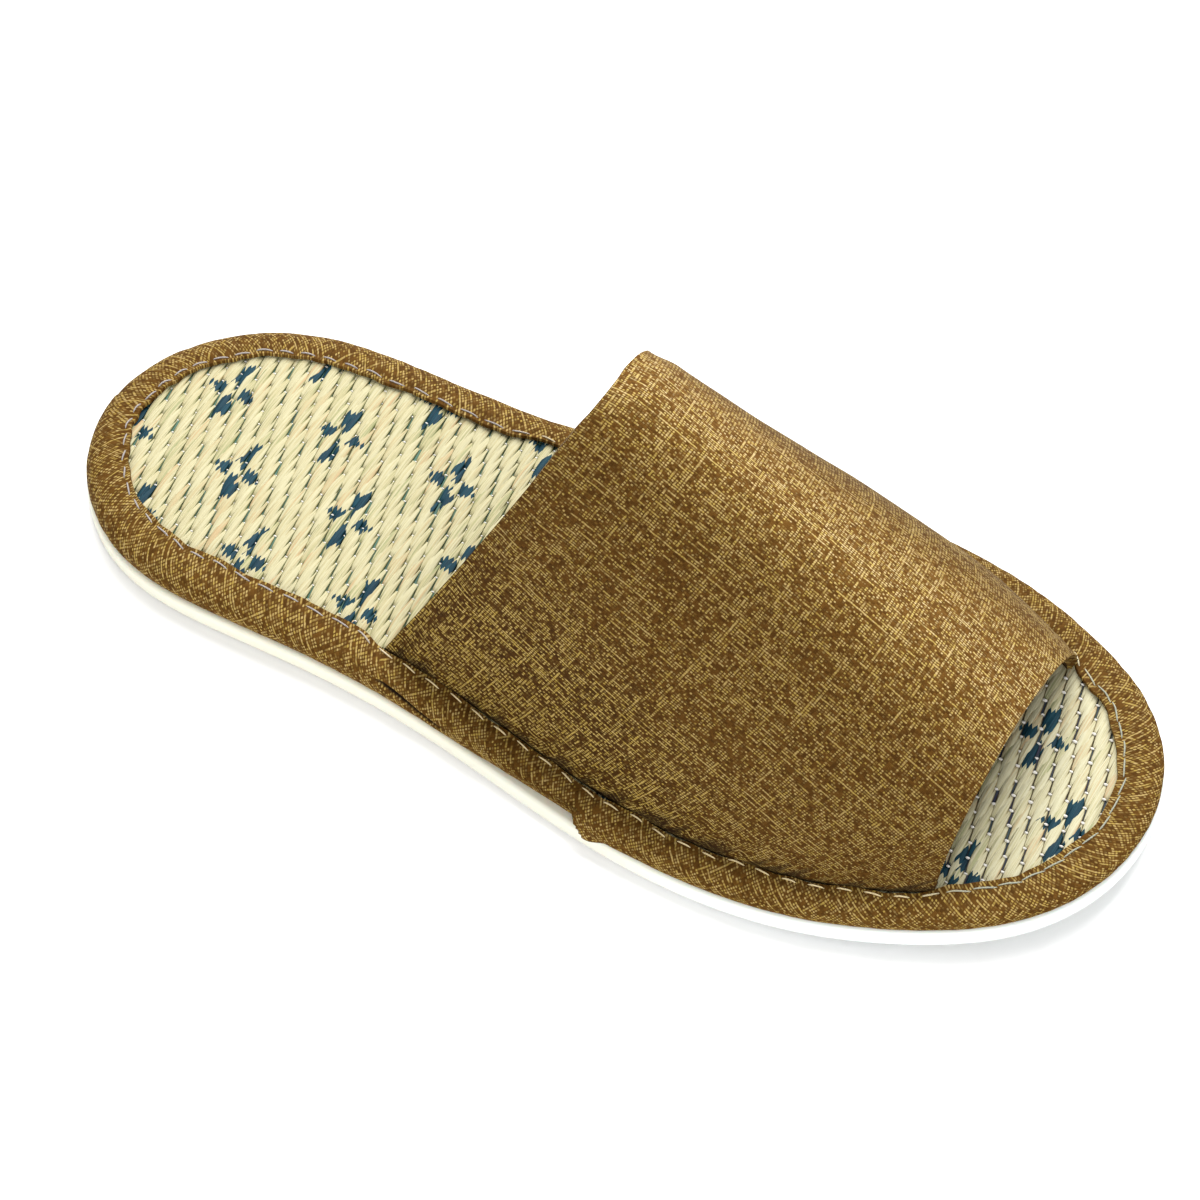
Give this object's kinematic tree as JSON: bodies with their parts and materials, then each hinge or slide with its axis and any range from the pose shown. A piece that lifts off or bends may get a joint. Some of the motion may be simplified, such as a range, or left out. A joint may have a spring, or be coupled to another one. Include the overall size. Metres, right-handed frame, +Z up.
{
  "type": "tatami slipper",
  "caption": "Open-toe indoor slipper: padded brown cloth vamp over a woven rush footbed bound in brown tape on a thin ivory foam sole.",
  "frame": {"origin": "middle of the slipper's plan box, on the floor under the sole", "axes": "+Z up, +Y from toe to heel, +X to the slipper's left side as worn"},
  "size_m": [0.1106, 0.2626, 0.0856],
  "materials": {
    "ivory_foam": "smooth matt closed-cell foam sheet",
    "rush_mat": "woven straw-coloured rush with navy kasuri crosses",
    "brown_tape": "slubbed brown cloth tape cut on the bias",
    "brown_cloth": "slubbed brown plain-weave cloth over thin padding"
  },
  "bodies": {
    "root": {"outsole": "ivory_foam", "insole": "rush_mat", "binding": "brown_tape", "upper": "brown_cloth"}
  },
  "joints": []
}
